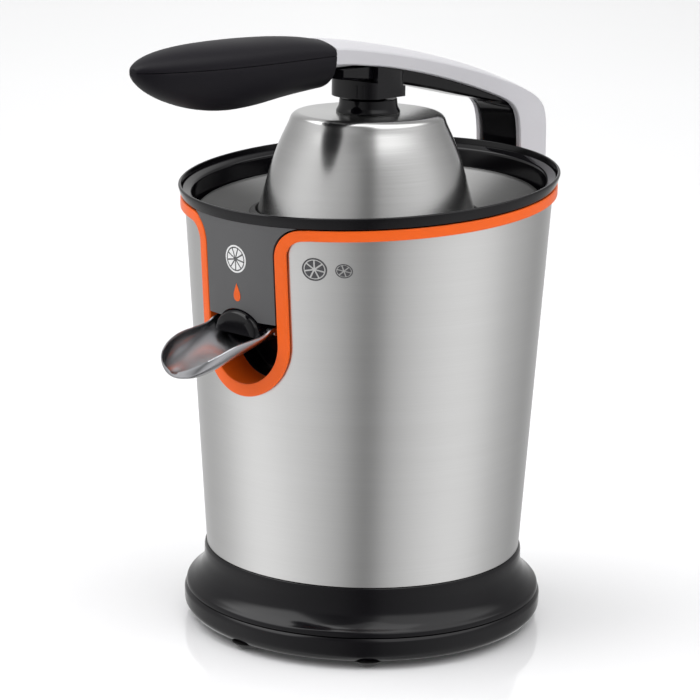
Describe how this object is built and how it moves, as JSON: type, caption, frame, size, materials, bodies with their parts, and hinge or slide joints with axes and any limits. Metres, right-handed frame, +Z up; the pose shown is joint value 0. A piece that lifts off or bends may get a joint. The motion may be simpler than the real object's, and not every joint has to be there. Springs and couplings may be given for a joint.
{
  "type": "citrus press juicer",
  "caption": "Motor-driven citrus juicer with a hinged press lever, steel conical body, open bowl, ribbed reamer and tilting pour spout.",
  "frame": {"origin": "centre of the bounding box in plan, at the bottom of the feet", "axes": "+Z up, spout and grip towards -Y, lever hinge at +Y, +X to the right of someone facing +Y"},
  "size_m": [0.18, 0.2672, 0.286],
  "materials": {
    "brushed_steel": "brushed round the body, satin",
    "polished_steel": "polished stainless steel",
    "black_gloss": "glossy moulded black",
    "black_satin": "satin black",
    "soft_black": "soft-touch black",
    "rubber": "matte rubber",
    "orange": "glossy orange",
    "silver_paint": "satin silver paint",
    "grey_plastic": "grey moulding",
    "nylon": "natural nylon",
    "steel": "plain steel",
    "bronze": "sintered bronze"
  },
  "bodies": {
    "housing": {"foot_1": "rubber", "foot_2": "rubber", "foot_3": "rubber", "foot_4": "rubber", "foot_5": "rubber", "foot_6": "rubber", "base_pan": "black_gloss", "base_collar": "black_gloss", "base_screw_1": "steel", "base_screw_2": "steel", "base_screw_3": "steel", "cord_gland": "rubber", "steel_body": "brushed_steel", "accent_trim": "orange", "rim_collar": "black_gloss", "niche_liner": "black_gloss", "juice_bowl": "black_gloss", "strainer": "brushed_steel", "outlet_nozzle": "black_gloss", "spout_pin": "steel", "hinge_bracket": "black_satin", "bracket_backplate": "steel", "bracket_screw_1": "steel", "bracket_screw_2": "steel", "idler_pin": "steel", "gearbox_base": "grey_plastic", "gearbox_cover": "grey_plastic", "return_spring": "steel", "switch_body": "black_satin", "upper_bushing": "bronze", "shaft_seal": "rubber", "stator": "steel", "motor_housing": "steel", "lower_bearing": "bronze", "chassis": "black_satin"},
    "spout": {"pour_spout": "polished_steel"},
    "lever": {"lever_arm": "silver_paint", "lever_liner": "black_gloss", "grip_core": "steel", "grip_upper": "soft_black", "grip_lower": "soft_black", "grip_screw": "steel", "hinge_pin": "steel", "press_hub": "black_gloss", "pivot_pin": "steel"},
    "press_cone": {"press_neck": "black_gloss", "press_dome": "brushed_steel", "press_cup": "grey_plastic", "dome_gasket": "rubber", "dome_nut": "steel"},
    "drive_carriage": {"thrust_cup": "nylon"},
    "reamer_drive": {"drive_shaft": "steel", "output_gear": "nylon", "reamer_small": "black_satin", "reamer_large": "black_satin"},
    "idler": {"idler_gear": "nylon"},
    "rotor": {"motor_rotor": "steel", "motor_pinion": "bronze", "cooling_fan": "grey_plastic"},
    "plunger": {"switch_plunger": "orange"}
  },
  "joints": [
    {"name": "lever_hinge", "type": "hinge", "parent": "housing", "child": "lever", "pos_m": [0, 0.1199, 0.188], "axis": [-1, 0, 0], "range_deg": [0, 85]},
    {"name": "press_cone_pivot", "type": "hinge", "parent": "lever", "child": "press_cone", "pos_m": [0, 0.0139, 0.258], "axis": [1, 0, 0], "range_deg": [-4, 4]},
    {"name": "spout_tilt", "type": "hinge", "parent": "housing", "child": "spout", "pos_m": [0, -0.0641, 0.1548], "axis": [-1, 0, 0], "range_deg": [0, 11]},
    {"name": "drive_press", "type": "slide", "parent": "housing", "child": "drive_carriage", "axis": [0, 0, -1], "range_m": [0, 0.002], "stiffness_N_per_m": 900, "springref_m": -0.006, "deforming": ["return_spring"]},
    {"name": "reamer_spin", "type": "hinge", "parent": "drive_carriage", "child": "reamer_drive", "pos_m": [0, 0.0154, 0.16], "axis": [0, 0, 1], "continuous": true},
    {"name": "idler_spin", "type": "hinge", "parent": "housing", "child": "idler", "pos_m": [0, 0.0454, 0.12], "axis": [0, 0, 1], "continuous": true},
    {"name": "motor_spin", "type": "hinge", "parent": "housing", "child": "rotor", "pos_m": [0, 0.0154, 0.08], "axis": [0, 0, 1], "continuous": true},
    {"name": "switch_press", "type": "slide", "parent": "housing", "child": "plunger", "axis": [0, 0, -1], "range_m": [0, 0.002]}
  ],
  "couplings": [
    {"joint": "idler_spin", "follows": "motor_spin", "ratio": -0.25},
    {"joint": "reamer_spin", "follows": "motor_spin", "ratio": 0.0625},
    {"joint": "switch_press", "follows": "drive_press", "ratio": 1}
  ]
}
